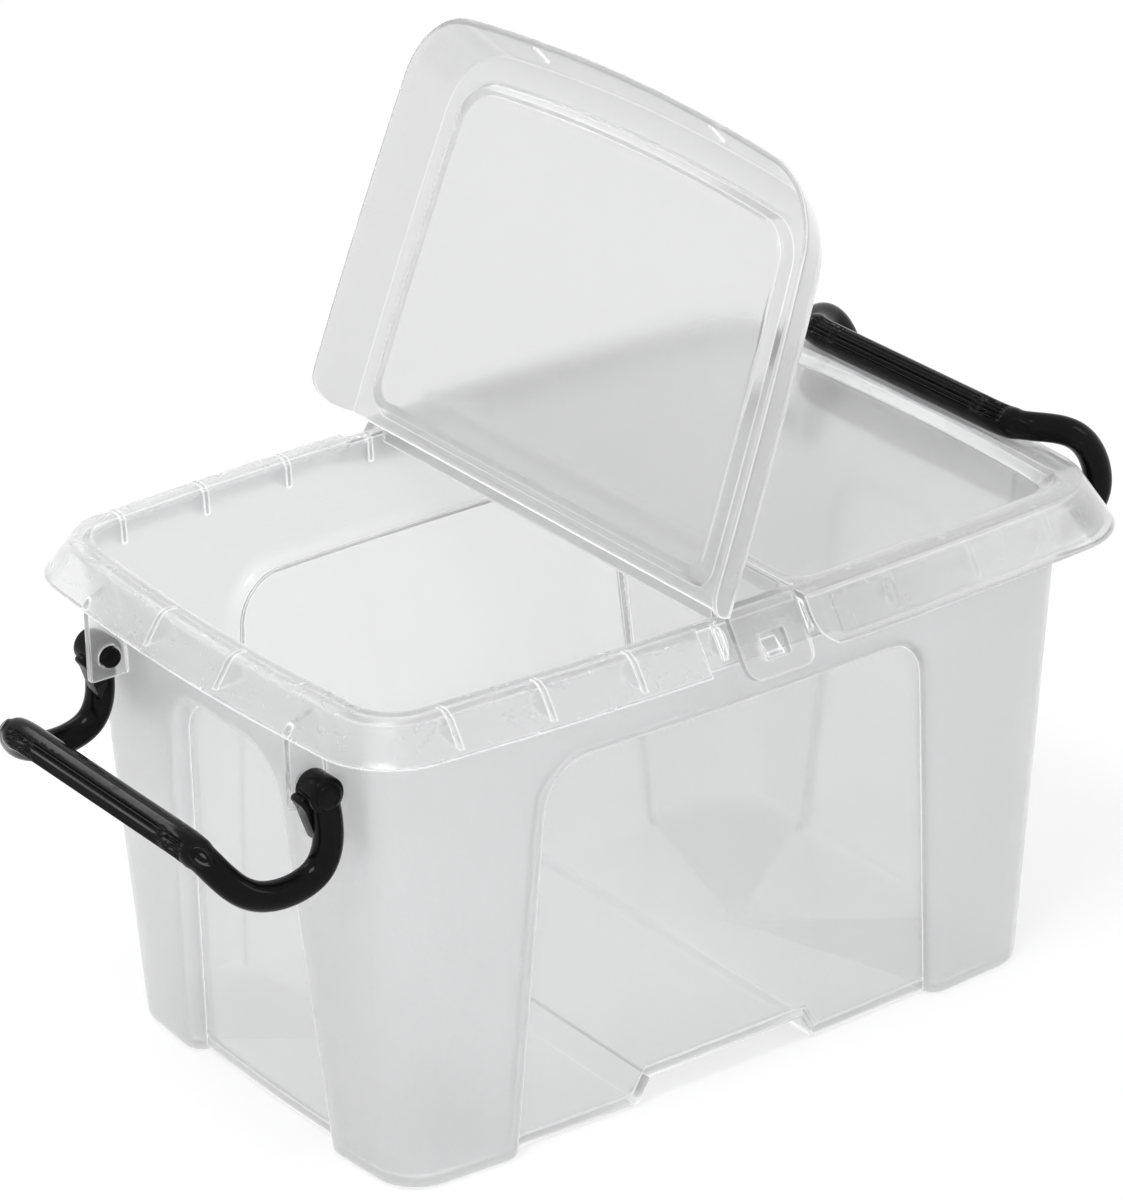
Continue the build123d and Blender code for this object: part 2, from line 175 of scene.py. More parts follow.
def tub_columns(height, fixed, reach):
    """For each height, the plan places of the columns, what is given along them, and how far inside a
    window's edge each lies, with far for a column that no edge is near. An edge leans in towards its top,
    and its columns lean with it."""
    lean = np.clip(height / window_top, 0, lean_limit)
    front = front_foot + (front_head - front_foot) * lean
    end = end_foot + (end_head - end_foot) * lean
    rows = len(height)
    long_side = np.concatenate([np.tile(fixed, (rows, 1)), front[:, None] - reach], 1)
    short_side = np.concatenate([end[:, None] - reach[::-1], np.tile(end_fixed, (rows, 1))], 1)
    arc = np.tile(corner_share, (rows, 1))
    place = np.repeat((0, 1, 2), (long_side.shape[1], arc.shape[1], short_side.shape[1]))
    front_inward = np.append(np.full(len(fixed), far), reach)
    end_inward = np.append(reach[::-1], np.full(len(end_fixed), far))
    inward = np.concatenate([front_inward, np.full(arc.shape[1], -far), end_inward])
    return np.tile(place, (rows, 1)), np.concatenate([long_side, arc, short_side], 1), inward


arch_slope = 0.003
arch_fade = 0.02
frost_start, frost_fade = 0.0004, 0.0006


def wall_skin(height, reach, depth, fixed, inset_more, foot_z, foot_round, arch_foot, frost):
    """Rows of the wall at given heights, for one quarter. The inset falls linearly with height, plus the
    set-back of the panes, which depends only on the lesser distance c inside the window's side and top
    edges. Near a window's upper corner a point at the distances (c, d) moves to its place on the arc of
    radius R - c about (R, R). Below, the heights are lifted over the arch, and the foot is rounded with the
    circle R - sqrt(R^2 - (R - z)^2)."""
    place, along, inward = tub_columns(height, fixed, reach)
    down = np.broadcast_to(window_top - height[:, None], along.shape)
    inward = np.broadcast_to(inward, along.shape)
    least, most = np.minimum(inward, down), np.maximum(inward, down)
    bend = (most < window_corner) & (least < window_corner)
    share = np.where(bend, (window_corner - most) / np.maximum(window_corner - least, 1e-9), 0)
    radius = window_corner - least
    keep = smooth_step((least - beyond[-1]) / (beyond[0] - beyond[-1]))
    arc_least = window_corner - radius * np.cos(share * pi / 4)
    arc_most = window_corner - radius * np.sin(share * pi / 4)
    new_least = np.where(bend, least + keep * (arc_least - least), least)
    new_most = np.where(bend, most + keep * (arc_most - most), most)
    sideways = inward <= down
    slid = np.where(sideways, new_least, new_most) - inward
    along = along - np.where(place == 1, 0, slid)
    z = window_top - np.where(sideways, new_most, new_least)
    lift = arch_height * np.clip((arch_foot - along) / arch_slope, 0, 1) * (place == 0)
    z = z + lift * np.clip(1 - (z - foot_z) / arch_fade, 0, 1)
    set_back = np.interp(least, reach[::-1], depth[::-1])
    rounded = np.clip(foot_round - (z - lift - foot_z), 0, foot_round)
    rounding = foot_round - np.sqrt(foot_round**2 - rounded**2)
    inset = base_inset + (top_inset - base_inset) * z / tub_height + inset_more + set_back + rounding
    x, y = plan_point(place, along, inset, np.full_like(inset, wall_corner - inset_more))[:2]
    blasted = frost * smooth_step((frost_start - least) / frost_fade)
    return np.stack([x, y, z, blasted], 2)


seat_depth = 0.0024
seat_slope = 0.0013
seat_limit = 0.0083
seat_under_z = lip_z + 0.0004


def rim_skin(inset, height, corner, seat, frost):
    """Rows of the rim, each with its own inset, height and corner radius, and how deep the clip seat sets
    it back. Under the lip a seat goes no further in than seat_limit."""
    inset, height, corner, seat = (np.array(v) for v in (inset, height, corner, seat))
    place, along = tub_columns(height, side_outer, outer_reach)[:2]
    step = smooth_step((seat_half + seat_slope - along) / seat_slope) * (place == 0)
    inset = inset[:, None] + seat[:, None] * step
    limited = (seat[:, None] > 0) & (height[:, None] < seat_under_z)
    inset = np.where(limited, np.minimum(inset, seat_limit), inset)
    x, y = plan_point(place, along, inset, np.broadcast_to(corner[:, None], along.shape))[:2]
    return np.stack([x, y, np.broadcast_to(height[:, None], x.shape), np.full_like(x, frost)], 2)


plain_inset, plain_corner = 0.023, 0.006
middle_half = 0.04
middle_share = np.array((0, 0.5, 1))[:, None]


def floor_rows(ring, height, fixed, reach):
    """Rows that fill a ring, from a line of plus and minus middle_half out to a plain ring well inside the
    given one, without the steps at the windows. x starts from its clipped self, and y from 0."""
    place, along = tub_columns(np.array([height]), fixed, reach)[:2]
    x, y = plan_point(place, along, plain_inset, np.full_like(along, plain_corner))[:2]
    middle = np.clip(x, -middle_half, middle_half)
    grid = (middle + (x - middle) * middle_share, y * middle_share, ring[0, :, 2], ring[0, :, 3])
    return np.stack([np.broadcast_to(part, (len(middle_share), x.shape[1])) for part in grid], 2)


def whole_plan(quarter):
    """The four quarters of the plan from the first, as closed rows."""
    back = quarter[:, ::-1]
    flip_y, flip_x, both = (np.array(v) for v in ((1, -1, 1, 1), (-1, 1, 1, 1), (-1, -1, 1, 1)))
    parts = (quarter, (back * flip_y)[:, 1:], (quarter * both)[:, 1:], (back * flip_x)[:, 1:-1])
    return np.concatenate(parts, 1)


low_rows = np.array([0.0, 0.3, 0.7, 1.2, 1.9, 3.9, 6.9, 11.9, 19.9, 31.9, 44.9, 57.9, 69.9]) / 1000
outer_high_rows = np.array([99.0, 101.5, 104.0, 106.8]) / 1000
inner_high_rows = np.array([99.0, 103.0, 107.0, 108.7]) / 1000
outer_rows = np.concatenate([low_rows, window_top - outer_reach, outer_high_rows])
inner_rows = np.concatenate([low_rows + floor, window_top - inner_reach, inner_high_rows])
outer_wall = wall_skin(outer_rows, outer_reach, outer_depth, side_outer,
                       inset_more=0.0, foot_z=0.0, foot_round=0.0013, arch_foot=0.0226, frost=1.0)
inner_wall = wall_skin(inner_rows, inner_reach, inner_depth, side_inner,
                       inset_more=wall, foot_z=floor, foot_round=0.002, arch_foot=0.02356, frost=0.35)
rim_frost = 0.5
rim_section = (
    # inset, height, corner radius, share of the seat, in mm
    (9.70, 109.20, 8.8, 0), (9.25, 109.50, 9.3, 0), (8.40, 109.50, 10.2, 0.1), (7.20, 109.50, 11.6, 0.5),
    (6.30, 109.50, 12.8, 1), (5.70, 109.42, 13.4, 1), (5.15, 109.10, 14.0, 1), (4.75, 108.60, 14.4, 1),
    (3.90, 107.40, 14.9, 1), (2.60, 105.50, 15.8, 1), (1.30, 103.50, 16.6, 1), (0.40, 102.10, 17.2, 1),
    (-0.05, 101.75, 17.5, 1), (0.10, 101.45, 17.5, 1), (0.65, 101.35, 17.0, 1), (1.25, 101.50, 16.3, 1),
    (1.75, 102.20, 15.9, 1), (2.90, 104.00, 15.1, 1), (4.20, 106.00, 14.2, 1), (5.10, 107.30, 13.3, 1),
    (5.70, 107.85, 12.8, 1), (6.50, 108.00, 12.1, 1), (7.60, 108.00, 11.0, 1), (8.15, 107.90, 10.4, 0.4),
    (8.45, 107.50, 10.0, 0),
)
insets, heights, corners, seats = np.array(rim_section).T
rim = rim_skin(insets / 1000, heights / 1000, corners / 1000, seats * seat_depth, rim_frost)
inner_floor = floor_rows(inner_wall[:1], inner_rows[0], side_inner, inner_reach)
outer_floor = floor_rows(outer_wall[:1], outer_rows[0], side_outer, outer_reach)
skin = [inner_floor, inner_wall, rim, outer_wall[::-1], outer_floor[::-1]]
skin = whole_plan(np.concatenate(skin)) + np.array([tub_mid_x, 0, 0, 0])
tub_shells = [(skin, False, True)]


def plate(outline, offset_a, offset_b, frost):
    """A flat plate as a closed shell: its outline, points by 3, moved by two offsets, each face drawn to
    its middle."""
    middle = np.broadcast_to(outline.mean(0), outline.shape)
    grid = np.stack([middle + offset_a, outline + offset_a, outline + offset_b, middle + offset_b])
    return np.concatenate([grid, np.full(grid.shape[:2] + (1,), frost)], 2), False, True


# Gussets: webs from the apron to the wall, under the lip. Away from a corner its radius doesn't matter.
any_corner = 0.01
web_frost = 0.3
gusset_half = 0.0006
gusset_count, gusset_spacing = 8, 0.021
end_gussets_y = (-0.0125, 0.0125)
seat_gusset_inset = seat_depth + 0.0012
gusset_inset = np.array([1.15, 2.1, 3.4, 4.7, 6.1, 7.4, 8.7, 8.95, 7.6, 6.0, 4.2, 2.6]) / 1000
gusset_height = np.array([1.1, 2.4, 4.3, 6.2, 6.7, 6.7, 6.7, 1.4, 1.2, 1.0, 0.9, 0.9]) / 1000
gusset_z = rim_z + gusset_height
zero = np.zeros(len(gusset_inset), int)
for gusset_x in (np.arange(gusset_count) - (gusset_count - 1) / 2) * gusset_spacing:
    in_seat = abs(gusset_x) < seat_half
    inset = np.maximum(gusset_inset, seat_gusset_inset) if in_seat else gusset_inset
    y = plan_point(zero, zero + abs(gusset_x), inset, zero + any_corner)[1]
    for side in (-1, 1):
        web = np.stack([zero + gusset_x + tub_mid_x, side * y, gusset_z], 1)
        tub_shells.append(plate(web, (-gusset_half, 0, 0), (gusset_half, 0, 0), web_frost))
for gusset_y in end_gussets_y:
    x = plan_point(zero + 2, zero + abs(gusset_y), gusset_inset, zero + any_corner)[0]
    for end in (-1, 1):
        web = np.stack([tub_mid_x + end * x, zero + gusset_y, gusset_z], 1)
        tub_shells.append(plate(web, (0, -gusset_half, 0), (0, gusset_half, 0), web_frost))

# Catches: wedges in the two clip seats, flat below and sloping in to nothing above.
catch_half = 0.0019
catch_inset = np.array([2.9, 0.95, 0.8, 0.95, 4.3, 4.5]) / 1000
catch_z = np.array([101.6, 101.5, 101.65, 101.95, 104.0, 104.1]) / 1000
zero = np.zeros(len(catch_z), int)
y = plan_point(zero, zero * 0.0, catch_inset, zero + any_corner)[1]
for side in (-1, 1):
    wedge = np.stack([zero + tub_mid_x, side * y, catch_z], 1)
    tub_shells.append(plate(wedge, (-catch_half, 0, 0), (catch_half, 0, 0), web_frost))

# Lugs: plates under the rim's corners with a hole for a handle's pin. In each direction the edge is at the
# least of its straight sides' distances, softened as a power mean so that the corners are round.
pivot_x, pivot_z = 0.0908, 0.090
lug_y, lug_half = 0.036, 0.0009
hole_radius = 0.00232
bevel = 0.0003
around = np.linspace(0, 2 * pi, 72, endpoint=False)
lug_sides = (
    # the way a side faces, in degrees up from outwards, and its distance from the pin in mm
    (0.0, 4.6), (-90.0, 4.8), (177.5, 4.5), (66.8, 13.4),
)
mean_power = 18
closeness = 0
for facing, away in lug_sides:
    toward = np.maximum(np.cos(around - radians(facing)), 1e-3)
    closeness = closeness + (toward / (away / 1000)) ** mean_power
lug_radius = closeness ** (-1 / mean_power)
lug_skin = (
    # radius, distance from the lug's middle plane
    (hole_radius, -lug_half + bevel), (hole_radius + bevel, -lug_half), (lug_radius - bevel, -lug_half),
    (lug_radius, -lug_half + bevel), (lug_radius, lug_half - bevel), (lug_radius - bevel, lug_half),
    (hole_radius + bevel, lug_half), (hole_radius, lug_half - bevel),
)
for end in (-1, 1):
    for side in (-1, 1):
        rows = []
        for radius, depth in lug_skin:
            x = tub_mid_x + end * (pivot_x + radius * np.cos(around))
            z = pivot_z + radius * np.sin(around)
            rows.append(np.stack([x, 0 * x + side * lug_y + depth, z, 0 * x + web_frost], 1))
        tub_shells.append((np.stack(rows), True, True))

tub = make_piece("moulded_tub", tub_shells)
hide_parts("tub")
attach(tub, "box")


def shader_nodes(name):
    """A new material with one Principled shader, its tree and the shader."""
    material = bpy.data.materials.new(name)
    material.use_nodes = True
    return material, material.node_tree, material.node_tree.nodes["Principled BSDF"]


def add_node(tree, kind, inputs=(), **settings):
    """One node of a kind, with attributes set and its inputs given as a dict of values or of other nodes'
    outputs."""
    node = tree.nodes.new(kind)
    for key, value in settings.items():
        setattr(node, key, value)
    for key, value in dict(inputs).items():
        if isinstance(value, bpy.types.NodeSocket):
            tree.links.new(value, node.inputs[key])
        else:
            node.inputs[key].default_value = value
    return node


def moulded_surface():
    """Node group for a moulded plastic skin. Blasted areas have a fine even grain, polished ones a faint
    slow ripple from the flow of the plastic, and both have sparse fine scuffs."""
    group = bpy.data.node_groups.new("moulded_surface", "ShaderNodeTree")
    for name in ("Frost", "Clear Roughness", "Frosted Roughness"):
        group.interface.new_socket(name=name, in_out="INPUT", socket_type="NodeSocketFloat")
    group.interface.new_socket(name="Roughness", in_out="OUTPUT", socket_type="NodeSocketFloat")
    group.interface.new_socket(name="Normal", in_out="OUTPUT", socket_type="NodeSocketVector")
    given = add_node(group, "NodeGroupInput").outputs
    put = add_node(group, "NodeGroupOutput")
    place = add_node(group, "ShaderNodeTexCoord").outputs["Object"]
    grain = add_node(group, "ShaderNodeTexNoise", {"Vector": place, "Scale": 1500.0, "Detail": 2.0})
    ripple = add_node(group, "ShaderNodeTexNoise", {"Vector": place, "Scale": 42.0, "Detail": 1.0})
    scuff = add_node(group, "ShaderNodeTexNoise",
                     {"Vector": place, "Scale": 260.0, "Detail": 6.0, "Distortion": 1.5})
    worn = add_node(group, "ShaderNodeMapRange",
                    {"Value": scuff.outputs["Fac"], "From Min": 0.58, "From Max": 0.75, "To Max": 0.08})
    levels = {"To Min": given["Clear Roughness"], "To Max": given["Frosted Roughness"]}
    level = add_node(group, "ShaderNodeMapRange", {"Value": given["Frost"], **levels})
    rough = add_node(group, "ShaderNodeMath", {0: level.outputs[0], 1: worn.outputs[0]}, operation="ADD")
    fine = add_node(group, "ShaderNodeMath",
                    {0: grain.outputs["Fac"], 1: given["Frost"]}, operation="MULTIPLY")
    fine_bump = add_node(group, "ShaderNodeBump",
                         {"Height": fine.outputs[0], "Strength": 0.35, "Distance": 0.0002})
    slow_bump = add_node(group, "ShaderNodeBump",
                         {"Height": ripple.outputs["Fac"], "Strength": 0.25, "Distance": 0.0006})
    group.links.new(fine_bump.outputs[0], slow_bump.inputs["Normal"])
    group.links.new(rough.outputs[0], put.inputs["Roughness"])
    group.links.new(slow_bump.outputs[0], put.inputs["Normal"])
    return group


moulded = moulded_surface()
refractive_index = 1.49
# Strength of the painted glow and painted edge highlight lines that the clear plastic emits, though it is
# no lamp
painted_edge_glow = 0.4
painted_line_width = 0.0006
painted_edge_line = 1.2


def clear_plastic(name, tint, clarity, clear_roughness, frosted_roughness):
    """Natural polypropylene. clarity is the share of light that goes through, and the rest is scattered
    white. On top, emission paints light in: a faint painted glow all over, a stronger one at grazing
    angles, and a painted highlight line along each sharp edge."""
    material, tree, shader = shader_nodes(name)
    frost = add_node(tree, "ShaderNodeAttribute", attribute_name="frost").outputs["Fac"]
    given = {"Frost": frost, "Clear Roughness": clear_roughness, "Frosted Roughness": frosted_roughness}
    skin = add_node(tree, "ShaderNodeGroup", given, node_tree=moulded)
    tree.links.new(skin.outputs["Roughness"], shader.inputs["Roughness"])
    tree.links.new(skin.outputs["Normal"], shader.inputs["Normal"])
    shader.inputs["Base Color"].default_value = (*tint, 1)
    shader.inputs["IOR"].default_value = refractive_index
    shader.inputs["Transmission Weight"].default_value = clarity
    # Painted glow: emission that brightens what is seen at a grazing angle, and paints a faint glow on the
    # rest of the surface
    facing = add_node(tree, "ShaderNodeLayerWeight", {"Blend": 0.5}).outputs["Facing"]
    edge = add_node(tree, "ShaderNodeMapRange",
                    {"Value": facing, "From Min": 0.58, "From Max": 1.0, "To Min": 0.055, "To Max": 0.6})
    # The bevelled normal differs from the true one within a line's width of each sharp edge, and there
    # emission paints a bright highlight line
    rounded = add_node(tree, "ShaderNodeBevel", {"Radius": painted_line_width}, samples=4)
    flat = add_node(tree, "ShaderNodeNewGeometry").outputs["Normal"]
    match = add_node(tree, "ShaderNodeVectorMath",
                     {0: rounded.outputs[0], 1: flat}, operation="DOT_PRODUCT").outputs["Value"]
    line = add_node(tree, "ShaderNodeMapRange",
                    {"Value": match, "From Min": 0.97, "From Max": 0.75, "To Max": painted_edge_line})
    # The painted grazing glow and the painted edge highlight lines, added into one emission colour
    both = add_node(tree, "ShaderNodeMath", {0: edge.outputs[0], 1: line.outputs[0]}, operation="ADD")
    tree.links.new(both.outputs[0], shader.inputs["Emission Color"])
    shader.inputs["Emission Strength"].default_value = painted_edge_glow
    return material


tub_plastic = clear_plastic("natural_polypropylene", (0.9, 0.902, 0.906), clarity=0.82,
                            clear_roughness=0.06, frosted_roughness=0.42)
tub.data.materials.append(tub_plastic)


# ---------------------------------------------------------------------------
# Lid halves. Two mirror-image mouldings, each with a panel sunk into its top and a flared skirt that ends
# in a curve beside the strap. One lies closed over the rim and the other stands up about its living hinge.
# Each is one closed skin: a run round the half's plan, times a run over the section.
# ---------------------------------------------------------------------------
lid_under_z = 0.1098
free_x = 0.0087
panel_middle = 0.052
lid_section = (
    # inset from the rim's edge, height, corner radius, start from the middle, corner radius at the start,
    # in mm
    (12.90, 108.20, 8.6, 15.40, 4.1), (12.50, 108.22, 8.9, 15.00, 4.4), (12.25, 108.32, 9.0, 14.75, 4.5),
    (12.00, 108.56, 9.0, 14.50, 4.5), (9.75, 110.86, 9.0, 12.20, 4.5), (9.55, 111.05, 9.0, 12.00, 4.5),
    (9.30, 111.16, 9.1, 11.80, 4.6), (9.00, 111.20, 9.3, 11.50, 4.8), (6.50, 111.20, 14.0, 9.90, 2.0),
    (4.40, 111.20, 17.6, 8.95, 0.2), (3.70, 111.18, 18.0, 8.80, 0.1), (3.20, 111.02, 18.0, 8.72, 0),
)
skirt_section = (
    # height in mm, share of the way from the outer face to the inner
    (110.75, 0), (110.30, 0), (109.60, 0), (107.50, 0), (105.20, 0), (103.00, 0),
    (101.60, 0), (101.22, 0.02), (101.06, 0.09), (101.00, 0.22), (101.00, 0.78), (101.06, 0.91),
    (101.22, 0.98), (101.60, 1), (103.00, 1), (105.20, 1), (107.50, 1), (109.00, 1),
)
tray_section = (
    # the underside, as in lid_section
    (3.95, 109.65, 16.6, 8.70, 0), (4.40, 109.80, 16.6, 8.75, 0.1), (9.90, 109.80, 9.2, 10.90, 4.0),
    (10.20, 109.70, 9.0, 11.10, 4.4), (10.95, 107.10, 9.0, 13.20, 4.5), (11.15, 106.94, 8.9, 13.40, 4.4),
    (11.50, 106.90, 8.6, 13.80, 4.1),
)
hinge_share = np.array([0, 0.25, 0.5, 0.72, 0.88, 0.96, 1.0])
start_turn = np.linspace(0, pi / 2, 8)[1:]
side_share = np.array([0.6, 1.4, 2.4, 3.6, 5.0, 6.6, 10, 18, 30, 45, 60, 75, 87, 95, 99]) / 100
lid_corner_share = np.linspace(0, 1, 17)
lid_end_share = np.array([0.99, 0.93, 0.84, 0.7, 0.5, 0.25, 0.0])
shoulder_z, shoulder_inset, shoulder_slope = 0.1101, 0.0025, 0.65
skirt_flare, skirt_drop = 0.0049, 0.0091
liner_inset, liner_drop = 0.0039, 0.0088


def skirt_inset(height, share):
    """The inset at a height, and a share of the way from the skirt's outer face to the inner. The outer
    slopes by skirt_flare over skirt_drop below the shoulder, and by shoulder_slope above it, and the inner
    by skirt_flare over liner_drop."""
    outer = shoulder_inset - (shoulder_z - height) * skirt_flare / skirt_drop
    outer = np.where(height > shoulder_z, shoulder_inset + (height - shoulder_z) * shoulder_slope, outer)
    return outer + share * (liner_inset - (lid_under_z - height) * skirt_flare / liner_drop - outer)


skirt_end_z = 0.1084
skirt_curve = 0.007816
skirt_curve_end = 0.0141


def half_ring(inset, height, corner, start, start_corner, share, skirted):
    """One row of a lid half's skin, as the points with y at or above 0 from its hinge side to its end. A
    skirted row keeps above the skirt's curved end, skirt_end_z - sqrt(r^2 - (x - r)^2) at x from its free
    end."""
    side_count, end_count = len(side_share), len(lid_end_share)
    tangent_x, tangent_y = plan_point(0, 0.0, inset, corner)[2:]
    x_side = start + start_corner + (tangent_x - start - start_corner) * side_share
    place = np.repeat((0, 1, 2), (side_count, len(lid_corner_share), end_count))
    along = np.concatenate([x_side, lid_corner_share, tangent_y * lid_end_share])
    z = np.full(len(along), height)
    insets = np.full(len(along), inset)
    first_z = height
    if skirted:
        beside = np.append(start, x_side)
        reach = np.clip(beside - free_x, 0, skirt_curve)
        curve = skirt_end_z - np.sqrt(skirt_curve**2 - (reach - skirt_curve) ** 2)
        curve = np.where(beside > skirt_curve_end, 0, curve)
        first_z = max(height, curve[0])
        z[:side_count] = np.maximum(height, curve[1:])
        insets[:side_count] = skirt_inset(z[:side_count], share)
        inset = skirt_inset(np.array(first_z), share)
    x, y = plan_point(place, along, insets, np.full(len(along), corner))[:2]
    start_y = plan_point(0, start + start_corner, inset, corner)[1]
    arc_x = start + start_corner * (1 - np.cos(start_turn))
    arc_y = start_y - start_corner * (1 - np.sin(start_turn))
    if skirted:
        hinge_y = hinge_share * plan_point(0, free_x, liner_inset, corner)[1]
        hinge = np.stack([0 * hinge_y + free_x, hinge_y, 0 * hinge_y + lid_under_z], 1)
        hinge[-1] = free_x, start_y, first_z
    else:
        hinge_y = hinge_share * (start_y - start_corner)
        hinge = np.stack([0 * hinge_y + start, hinge_y, 0 * hinge_y + height], 1)
    arc = np.stack([arc_x, arc_y, 0 * arc_x + first_z], 1)
    return np.concatenate([hinge, arc, np.stack([x, y, z], 1)])


skirt_corner = 0.018
cap_shares = (1, 0.66, 0.3, 0.1)
panel_frost, skirt_frost = 0.12, 0.3
nubs_y, nub_half, nub_corner = (-0.029, 0.029), 0.0006, 0.0166
nub_z = np.array([102.0, 102.0, 106.0, 106.0]) / 1000
nub_reach = np.array([-0.4, 0.4, 0.4, -0.4]) / 1000


def lid_half_shells():
    """The half at +X, closed: its skin, drawn in to the panel's middle above and below, and its two
    nubs."""
    rings = [half_ring(*(np.array(row) / 1000), 0, False) for row in lid_section]
    for height, share in np.array(skirt_section):
        inset, corner = skirt_inset(height / 1000, share), skirt_corner - wall * share
        rings.append(half_ring(inset, height / 1000, corner, free_x, 0, share, True))
    rings += [half_ring(*(np.array(row) / 1000), 0, False) for row in tray_section]
    rings = np.stack(rings)
    middle = np.array((panel_middle, 0, 0))
    level = np.array((1, 1, 0))
    caps = []
    for ring in (rings[0], rings[-1]):
        caps.append(np.stack([ring + (middle - ring) * level * share for share in cap_shares]))
    half = np.concatenate([caps[0], rings, caps[1][::-1]])
    frost = np.full(half.shape[:2] + (1,), panel_frost)
    skirt_start = len(cap_shares) + len(lid_section)
    frost[skirt_start : skirt_start + len(skirt_section)] = skirt_frost
    half = np.concatenate([half, frost], 2)
    mirrored = half * np.array((1, -1, 1, 1))
    shells = [(np.concatenate([half, mirrored[:, -2:0:-1]], 1), False, True)]
    zero = np.zeros(len(nub_z), int)
    for nub_y in nubs_y:
        x = plan_point(zero + 2, zero + abs(nub_y), skirt_inset(nub_z, 1) + nub_reach, zero + nub_corner)[0]
        web = np.stack([x, zero + nub_y, nub_z], 1)
        shells.append(plate(web, (0, -nub_half, 0), (0, nub_half, 0), skirt_frost))
    return shells


flap_opening = radians(111.0)
hinge_x, hinge_z = 0.00895, 0.11175


def lid_half(name, node, body, opening):
    """A lid half where it belongs. An opening above 0 gives the mirror image, turned up about its living
    hinge."""
    shells = []
    for grid, rows_close, columns_close in lid_half_shells():
        x, y, z, frost = np.moveaxis(grid, 2, 0)
        if opening > 0:
            dx, dz = hinge_x - x, z - hinge_z
            x = dx * cos(opening) + dz * sin(opening) - hinge_x
            z = dz * cos(opening) - dx * sin(opening) + hinge_z
        shells.append((np.stack([x + tub_mid_x, y, z, frost], 2), rows_close, columns_close))
    piece = make_piece(name, shells, sharp=30.0)
    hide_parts(node)
    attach(piece, body)
    return piece


lid_plastic = clear_plastic("lid_polypropylene", (0.8, 0.801, 0.803), clarity=0.76,
                            clear_roughness=0.08, frosted_roughness=0.42)
closed_half = lid_half("closed_lid_half", "lid_half_right", "box", 0.0)
raised_half = lid_half("raised_lid_half", "lid_half_left", "lid_flap", flap_opening)
for half in (closed_half, raised_half):
    half.data.materials.append(lid_plastic)


# ---------------------------------------------------------------------------
# Strap. The lid's middle moulding: a band across the box, bent down at both ends into spring clips with
# windows for their catches. Two ribs stiffen it below, and a living hinge runs along each of its sides. The
# band is a sheet down its middle plane, thickened and rounded by modifiers.
# ---------------------------------------------------------------------------
strap_thickness = 0.0018
strap_half = 0.0084
strap_rounding = 0.0004
strap_centre_z = 0.1111
strap_columns = np.array([-8.4, -7.0, -5.0, -3.0, 0.0, 3.0, 5.0, 7.0, 8.4]) / 1000
flat_y = np.array([0, 12, 24, 36, 46, 54]) / 1000
bend_radius, bend_points = 0.0017, 7
seat_height = 0.008
clip_out = 0.0015
clip_foot_z = 0.0983
clip_corner = 0.003
clip_heights = np.array([107.4, 105.8, 103.5, 101.2, 100.3, 99.5, 98.9, 98.5, 98.3]) / 1000
clip_window_half = 0.003
clip_window_z = (0.1012, 0.1058)


def clip_line(height):
    """How far from the middle a clip's own middle plane is: it lies along the sloping seat of the rim."""
    return rim_width / 2 - seat_depth - lip_inset * (height - rim_z) / seat_height + clip_out


def strap_sheet():
    """The band's middle plane: points along its section, times columns across it. Flat to the bend, then a
    circle of radius r that touches both runs, r tan(t/2) before their corner, then down the clip. Near the
    foot the columns close in to half - (c - sqrt(c^2 - (c - h)^2)), h above it, and the faces of the clip's
    window are left out."""
    slope = np.array((lip_inset, -seat_height)) / np.hypot(lip_inset, seat_height)
    corner = np.array((clip_line(strap_centre_z), strap_centre_z))
    bend = np.arccos(slope[0])
    turn = np.linspace(0, bend, bend_points)[:, None]
    start = corner - np.array((bend_radius * np.tan(bend / 2), 0))
    arc = start + bend_radius * np.concatenate([np.sin(turn), np.cos(turn) - 1], 1)
    flat = np.stack([flat_y, np.full(len(flat_y), strap_centre_z)], 1)
    clip = np.stack([clip_line(clip_heights), clip_heights], 1)
    line = np.concatenate([flat, arc, clip])
    above = np.clip(clip_corner - (line[:, 1] - clip_foot_z), 0, clip_corner)
    half = strap_half - (clip_corner - np.sqrt(clip_corner**2 - above**2))
    edge = clip_window_half
    across = np.abs(strap_columns)
    drawn_in = edge + (across - edge) * (half[:, None] - edge) / (strap_half - edge)
    x = np.sign(strap_columns) * np.where(across > edge, drawn_in, across)
    end = np.stack([x + tub_mid_x, 0 * x + line[:, :1], 0 * x + line[:, 1:]], 2)
    grid = np.concatenate([(end * np.array((1, -1, 1)))[:0:-1], end])
    rows, columns = grid.shape[:2]
    i, j = np.meshgrid(np.arange(rows - 1), np.arange(columns - 1), indexing="ij")
    first = i * columns + j
    faces = np.stack([first, first + columns, first + columns + 1, first + 1], 2)
    middle_x, middle_z = np.moveaxis((grid[:-1, :-1] + grid[1:, 1:]) / 2, 2, 0)[[0, 2]]
    window_low, window_high = clip_window_z
    open_here = (np.abs(middle_x - tub_mid_x) < edge) & (middle_z > window_low) & (middle_z < window_high)
    return grid.reshape(-1, 3), faces[~open_here]


points, faces = strap_sheet()
mesh = bpy.data.meshes.new("lid_strap_band")
mesh.from_pydata(points, [], faces)
mesh.shade_smooth()
band = bpy.data.objects.new("lid_strap_band", mesh)
bpy.context.scene.collection.objects.link(band)
shell = band.modifiers.new("shell", "SOLIDIFY")
shell.thickness = strap_thickness
shell.offset = 0
rounded = band.modifiers.new("rounded", "BEVEL")
rounded.width = strap_rounding
rounded.segments = 3
rounded.limit_method = "ANGLE"
rounded.angle_limit = radians(50.0)
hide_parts("lid_strap")
rib_x, rib_half, rib_frost = 0.0078, 0.0006, 0.2
rib_outline = np.array([
    # across the strap, along it, upwards, in mm
    (0, -56.5, 107.5), (0, -56.3, 107.3), (0, 56.3, 107.3),
    (0, 56.5, 107.5), (0, 56.5, 110.4), (0, -56.5, 110.4),
]) / 1000
rib_shells = []
